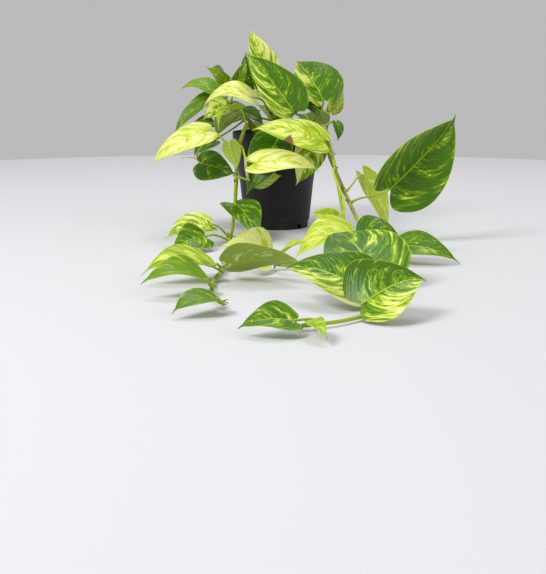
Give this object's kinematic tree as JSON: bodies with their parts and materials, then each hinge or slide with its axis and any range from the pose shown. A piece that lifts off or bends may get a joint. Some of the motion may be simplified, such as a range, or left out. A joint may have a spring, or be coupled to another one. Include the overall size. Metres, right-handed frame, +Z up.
{
  "type": "potted golden pothos plant",
  "caption": "Leafy variegated pothos in a tapered black nursery pot, with its crown above the rim and long stems trailing along the surface in front.",
  "frame": {"origin": "centre of the pot's underside, on the surface that the pot stands on", "axes": "+Z up out of the pot; -Y is the front, the way the long stems trail; +X is the right, seen from the front"},
  "size_m": [0.3864, 0.8215, 0.2679],
  "materials": {
    "pot_plastic": "satin black moulded plastic",
    "potting_soil": "damp dark brown crumb",
    "stem_green": "smooth bright green stem",
    "stem_woody": "tan woody stem with brown rings",
    "leaf_dark": "glossy deep green leaf with a few yellow flecks",
    "leaf_mottled": "glossy leaf mottled green and yellow",
    "leaf_pale": "cream and light green variegated leaf",
    "leaf_young": "light yellow-green young leaf or leaf underside"
  },
  "bodies": {
    "root": {"pot": "pot_plastic", "soil": "potting_soil", "vine_left": "stem_green", "vine_middle": "stem_green", "vine_right": "stem_woody", "stem_left": "stem_green", "stem_top": "stem_green", "stem_right": "stem_green", "crest_leaf": "leaf_pale", "crown_front_leaf": "leaf_dark", "right_shoulder_leaf": "leaf_dark", "right_behind_leaf": "leaf_pale", "long_pale_leaf": "leaf_mottled", "front_cream_leaf": "leaf_pale", "front_dark_leaf": "leaf_dark", "front_low_leaf": "leaf_young", "right_low_leaf": "leaf_mottled", "left_cream_leaf": "leaf_pale", "left_arch_leaf": "leaf_young", "left_upper_leaf": "leaf_pale", "left_dark_leaf": "leaf_dark", "left_low_leaf": "leaf_dark", "left_far_leaf": "leaf_young", "left_crest_leaf": "leaf_dark", "left_slim_leaf": "leaf_young", "top_slim_leaf": "leaf_mottled", "inner_teal_leaf": "leaf_dark", "inner_dark_leaf": "leaf_dark", "inner_right_leaf": "leaf_dark", "left_teal_leaf": "leaf_dark", "left_mottled_leaf": "leaf_mottled", "round_pale_leaf": "leaf_young", "right_edge_leaf": "leaf_dark", "left_shadow_leaf": "leaf_dark", "back_left_leaf": "leaf_dark", "back_middle_leaf": "leaf_mottled", "back_right_leaf": "leaf_dark", "back_low_leaf": "leaf_mottled", "back_low_right_leaf": "leaf_pale", "back_high_leaf": "leaf_young", "trail_hanging_leaf": "leaf_dark", "trail_striped_leaf": "leaf_mottled", "trail_twin_leaf": "leaf_dark", "trail_olive_leaf": "leaf_young", "trail_long_leaf": "leaf_pale", "trail_outer_leaf": "leaf_pale", "trail_end_leaf": "leaf_dark", "middle_yellow_leaf": "leaf_pale", "middle_furled_leaf": "leaf_young", "upright_leaf": "leaf_dark", "hanging_pale_leaf": "leaf_young", "low_right_leaf": "leaf_dark", "table_dark_leaf": "leaf_dark", "table_pale_leaf": "leaf_pale", "curled_young_leaf": "leaf_young", "heart_leaf": "leaf_dark", "broad_mottled_leaf": "leaf_mottled", "broad_end_leaf": "leaf_mottled", "small_end_leaf": "leaf_dark", "furled_end_leaf": "leaf_young"}
  },
  "joints": []
}
